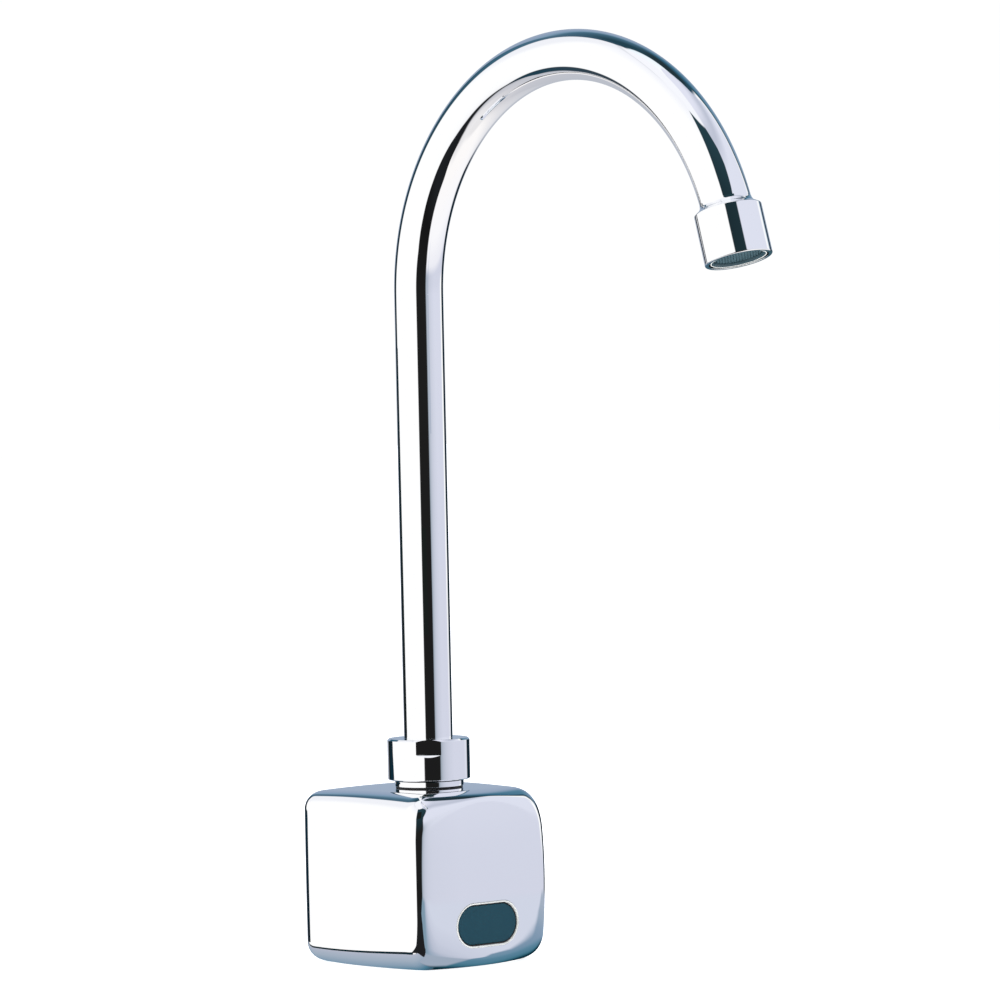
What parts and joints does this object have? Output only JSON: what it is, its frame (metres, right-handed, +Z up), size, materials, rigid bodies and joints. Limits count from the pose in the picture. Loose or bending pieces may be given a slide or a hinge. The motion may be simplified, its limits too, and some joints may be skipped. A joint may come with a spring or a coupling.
{
  "type": "sensor tap",
  "caption": "Deck-mounted touch-free tap: softly rounded cube body with a sensor window, a collar and a tall swivelling gooseneck spout ending in an aerator.",
  "frame": {"origin": "on the deck plane under the body, where the swivel axis of the spout meets it", "axes": "+Z up along the swivel axis and the upright of the spout, -Y forward to the sensor side and the outlet at rest, +X to the tap's left as seen from the front"},
  "size_m": [0.057, 0.1895, 0.2972],
  "materials": {
    "polished_chrome": "bright polished chrome plate over cast and turned brass",
    "bare_brass": "machined brass, unplated",
    "stainless_steel": "turned and stamped stainless steel",
    "black_rubber": "smooth moulded black rubber",
    "white_acetal": "moulded white acetal",
    "black_housing": "fine textured black moulding",
    "window_plastic": "polished dark infrared passing plastic",
    "copper_wire": "close wound enamelled copper wire",
    "circuit_board": "green solder mask with black chips",
    "diode_resin": "smoky cast resin",
    "aerator_plastic": "pale grey moulding",
    "aerator_mesh": "fine woven mesh"
  },
  "bodies": {
    "body": {"body_shell": "polished_chrome", "base_plate": "bare_brass", "deck_seal": "black_rubber", "base_plate_screws": "stainless_steel", "cable_gland": "black_rubber", "inlet_fitting": "bare_brass", "inlet_strainer": "aerator_mesh", "fitting_o_ring": "black_rubber", "valve_body": "white_acetal", "valve_diaphragm": "black_rubber", "valve_bonnet": "white_acetal", "bonnet_screws": "stainless_steel", "plunger_tube": "stainless_steel", "plunger_core": "stainless_steel", "plunger_spring": "stainless_steel", "coil_bobbin": "black_housing", "coil_winding": "copper_wire", "coil_frame": "stainless_steel", "coil_nut": "stainless_steel", "riser_tube": "stainless_steel", "riser_o_rings": "black_rubber", "spout_hub": "polished_chrome", "hub_seal": "black_rubber", "hub_lock_nut": "bare_brass", "collar_nut": "polished_chrome", "swivel_washer": "white_acetal", "window_gasket": "black_rubber", "sensor_window": "window_plastic", "sensor_housing": "black_housing", "sensor_board": "circuit_board", "ir_emitter": "diode_resin", "ir_receiver": "diode_resin", "light_baffle": "black_rubber", "sensor_screws": "stainless_steel"},
    "spout": {"spout_tube": "polished_chrome", "spout_stem": "bare_brass", "stem_o_rings": "black_rubber", "outlet_collar": "polished_chrome", "aerator_washer": "black_rubber", "aerator_shell": "aerator_plastic", "aerator_insert": "aerator_plastic", "aerator_screen": "aerator_mesh"},
    "plunger": {"plunger": "stainless_steel", "plunger_seal": "black_rubber"},
    "diaphragm": {"diaphragm_hub": "white_acetal"}
  },
  "joints": [
    {"name": "spout_swivel", "type": "hinge", "parent": "body", "child": "spout", "pos_m": [0, 0, 0.0595], "axis": [0, 0, 1], "continuous": true},
    {"name": "plunger_lift", "type": "slide", "parent": "body", "child": "plunger", "axis": [0, 0, 1], "range_m": [0, 0.002], "stiffness_N_per_m": 150, "springref_m": -0.003, "deforming": ["plunger_spring"]},
    {"name": "diaphragm_lift", "type": "slide", "parent": "body", "child": "diaphragm", "axis": [0, 0, 1], "range_m": [0, 0.0015], "deforming": ["valve_diaphragm"]}
  ],
  "couplings": [
    {"joint": "diaphragm_lift", "follows": "plunger_lift", "ratio": 0.75}
  ]
}
